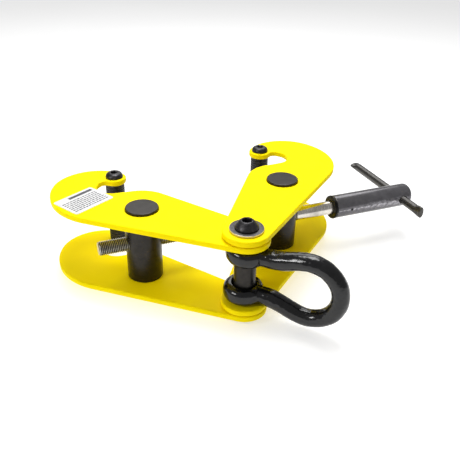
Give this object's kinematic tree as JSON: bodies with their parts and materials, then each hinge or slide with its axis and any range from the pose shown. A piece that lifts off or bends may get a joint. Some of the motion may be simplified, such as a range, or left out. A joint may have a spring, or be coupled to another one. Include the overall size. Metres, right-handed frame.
{
  "type": "beam clamp",
  "caption": "Adjustable beam clamp: two hooked plate jaws on one pivot, closed by a threaded spindle with a sliding T bar, with a bow shackle.",
  "frame": {"origin": "on the jaw pivot axis, at the flat underside of the pivot pin's head", "axes": "+Z along the pivot pin, from its head to its screw; +X along the spindle towards the T bar; +Y from the pivot to the jaws"},
  "size_m": [0.4548, 0.2977, 0.1184],
  "materials": {
    "yellow_paint": "semi-gloss bright yellow paint",
    "dark_steel": "satin dark machined steel",
    "bare_steel": "bright turned steel, oiled",
    "black_paint": "gloss black paint over forged steel",
    "black_oxide": "satin black oxide",
    "label_white": "satin white film"
  },
  "bodies": {
    "pivot": {"pivot_pin": "dark_steel", "pivot_washer": "black_oxide", "pivot_screw": "black_oxide"},
    "left_jaw": {"left_lower_plate": "yellow_paint", "left_upper_plate": "yellow_paint", "left_tip_rod": "black_oxide", "left_upper_tip_screw": "black_oxide", "left_lower_tip_screw": "black_oxide", "rating_label": "label_white"},
    "right_jaw": {"right_lower_plate": "yellow_paint", "right_upper_plate": "yellow_paint", "right_tip_rod": "black_oxide", "right_upper_tip_screw": "black_oxide", "right_lower_tip_screw": "black_oxide"},
    "left_block": {"left_trunnion": "dark_steel"},
    "right_block": {"right_trunnion": "dark_steel"},
    "ring": {"thrust_washer": "black_oxide"},
    "screw": {"spindle": "bare_steel", "handle_sleeve": "dark_steel", "handle_pin": "dark_steel"},
    "bar": {"tommy_bar": "dark_steel"},
    "shackle": {"shackle": "black_paint"}
  },
  "joints": [
    {"name": "left_jaw_swing", "type": "hinge", "parent": "pivot", "child": "left_jaw", "pos_m": [0, 0, 0], "axis": [0, 0, -1], "range_deg": [0, 23.3]},
    {"name": "right_jaw_swing", "type": "hinge", "parent": "pivot", "child": "right_jaw", "pos_m": [0, 0, 0], "axis": [0, 0, 1], "range_deg": [0, 23.3]},
    {"name": "left_trunnion_turn", "type": "hinge", "parent": "left_jaw", "child": "left_block", "pos_m": [-0.08623, 0.09378, 0.0543], "axis": [0, 0, 1], "range_deg": [0, 23.3]},
    {"name": "right_trunnion_turn", "type": "hinge", "parent": "right_jaw", "child": "right_block", "pos_m": [0.08623, 0.09378, 0.0543], "axis": [0, 0, -1], "range_deg": [0, 23.3]},
    {"name": "spindle_travel", "type": "slide", "parent": "left_block", "child": "ring", "axis": [-1, 0, 0], "range_m": [0, 0.0441]},
    {"name": "spindle_turn", "type": "hinge", "parent": "ring", "child": "screw", "pos_m": [0, 0.09378, 0.0543], "axis": [-1, 0, 0], "range_deg": [0, 7920]},
    {"name": "tommy_slide", "type": "slide", "parent": "screw", "child": "bar", "axis": [0, 1, 0], "range_m": [-0.0785, 0.0255]},
    {"name": "shackle_swing", "type": "hinge", "parent": "pivot", "child": "shackle", "pos_m": [0, 0, 0.053], "axis": [0, 0, -1], "range_deg": [0, 87]}
  ],
  "couplings": [
    {"joint": "left_jaw_swing", "follows": "spindle_turn", "ratio": 0.0029343},
    {"joint": "right_jaw_swing", "follows": "spindle_turn", "ratio": 0.0029343},
    {"joint": "left_trunnion_turn", "follows": "spindle_turn", "ratio": 0.0029343},
    {"joint": "right_trunnion_turn", "follows": "spindle_turn", "ratio": 0.0029343},
    {"joint": "spindle_travel", "follows": "spindle_turn", "m_per_rad": 0.00031831}
  ]
}
